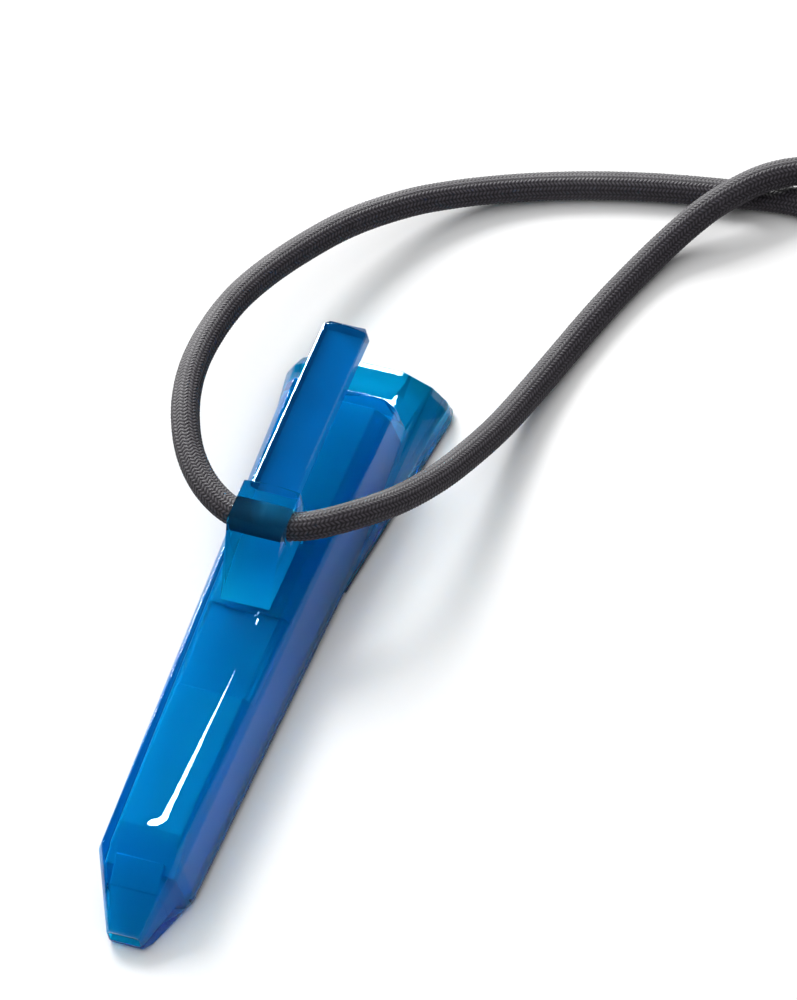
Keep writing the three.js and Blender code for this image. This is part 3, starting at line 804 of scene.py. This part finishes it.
for name, material, edge in (
        ("insert_stopper", blue_deep, 0.3), ("tone_board", blue_deep, 0.15), ("reed_long", film, 0.04),
        ("reed_short", film, 0.04), ("reed_wedge", rubber, 0.2), ("seal_front", silicone, 0.25),
        ("seal_rear", silicone, 0.25)):
    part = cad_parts[name]
    paint(part, material)
    bevel = part.modifiers.new("edges", "BEVEL")
    bevel.width = edge * MM
    bevel.segments = 3
    bevel.limit_method = "ANGLE"
    bevel.angle_limit = math.radians(BEVEL_ANGLE)

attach(knot_wraps, "call_body")
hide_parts("cord_knot")
paint(knot_wraps, sleeve)

for strand, path, length, nodes_held in (
        (left_cord, left_path, left_length, ("cord_left", "cord_coil", "cord_tail")),
        (right_cord, right_path, right_length, ("cord_right",))):
    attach(strand, "call_body")
    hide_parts(*nodes_held)
    paint(strand, sleeve)

# ---- stage --------------------------------------------------------------------------------------------
FLOOR_HALF = 6.0
FLOOR_GAP = 0.00004                                  # between the floor and the call's flat base
LIGHT_TARGET = (0, 20, 0)                            # what the lights face, in mm
DARK_PATCH = (-0.327, 0.4675, 0.8216)                # part of the studio's ceiling that the flat tops mirror
DARK_EDGE = (0.86, 0.97)                             # cosines of the angles over which it fades in
STUDIO_LIGHT, DARK_LIGHT = 0.45, 0.08                # strength of the studio round it, and in its middle


def make_floor():
    mesh = bpy.data.meshes.new("floor")
    corners = [(x * FLOOR_HALF, y * FLOOR_HALF, 0) for x, y in ((-1, -1), (1, -1), (1, 1), (-1, 1))]
    mesh.from_pydata(corners, [], [(0, 1, 2, 3)])
    floor = link(bpy.data.objects.new("floor", mesh))
    floor.location.z = -FLOOR_GAP
    material, tree, shader = new_material("floor")
    shader.inputs["Base Color"].default_value = (0.9, 0.9, 0.9, 1)
    shader.inputs["Roughness"].default_value = 0.9
    shader.inputs["Specular IOR Level"].default_value = 0.0
    paint(floor, material)


def area_light(name, direction, distance, size, size_y, power):
    light = bpy.data.lights.new(name, "AREA")
    light.shape = "RECTANGLE"
    light.size, light.size_y = size, size_y
    light.energy = power
    obj = link(bpy.data.objects.new(name, light))
    back = Vector(direction).normalized()
    obj.location = Vector(LIGHT_TARGET) * MM + back * distance
    obj.rotation_mode = "QUATERNION"
    obj.rotation_quaternion = (-back).to_track_quat("-Z", "Y")
    return obj


make_floor()
key = area_light("key", (-0.45, 0.50, 0.74), 1.3, 0.50, 0.50, 12.0)
softbox = area_light("softbox", (-0.10, 0.10, 1.0), 1.6, 2.4, 2.4, 30.0)
fill = area_light("fill", (0.80, -0.35, 0.48), 1.5, 1.4, 1.4, 3.0)
for lamp in (key, softbox, fill):                    # these three light the call and are not mirrored in it
    lamp.visible_glossy = False
strip = area_light("strip", (-0.612, 0.733, 0.298), 1.2, 1.1, 0.36, 150.0)
glint = area_light("glint", (-0.58, -0.05, 0.81), 1.2, 0.30, 0.50, 12.0)
for lamp in (strip, glint):                          # and these two are only mirrored
    lamp.visible_diffuse = False
    lamp.visible_transmission = False


def make_world():
    world = bpy.data.worlds.new("studio")
    world.use_nodes = True
    tree = world.node_tree
    back = tree.nodes["Background"]
    coords = tree.nodes.new("ShaderNodeTexCoord")
    dot = tree.nodes.new("ShaderNodeVectorMath")
    dot.operation = "DOT_PRODUCT"
    dot.inputs[1].default_value = DARK_PATCH
    tree.links.new(coords.outputs["Generated"], dot.inputs[0])
    spread = node(tree, "ShaderNodeMapRange")
    spread.interpolation_type = "SMOOTHSTEP"
    spread.inputs["From Min"].default_value = DARK_EDGE[0]
    spread.inputs["From Max"].default_value = DARK_EDGE[1]
    spread.inputs["To Min"].default_value = STUDIO_LIGHT
    spread.inputs["To Max"].default_value = DARK_LIGHT
    tree.links.new(dot.outputs["Value"], spread.inputs["Value"])
    tree.links.new(spread.outputs["Result"], back.inputs["Strength"])
    bpy.context.scene.world = world


make_world()

scene = bpy.context.scene
scene.view_settings.view_transform = "Standard"
scene.view_settings.look = "None"
scene.cycles.max_bounces = 24                        # the light passes many walls of clear plastic
scene.cycles.transmission_bounces = 24
scene.cycles.transparent_max_bounces = 16
scene.cycles.diffuse_bounces = 4
scene.cycles.glossy_bounces = 8
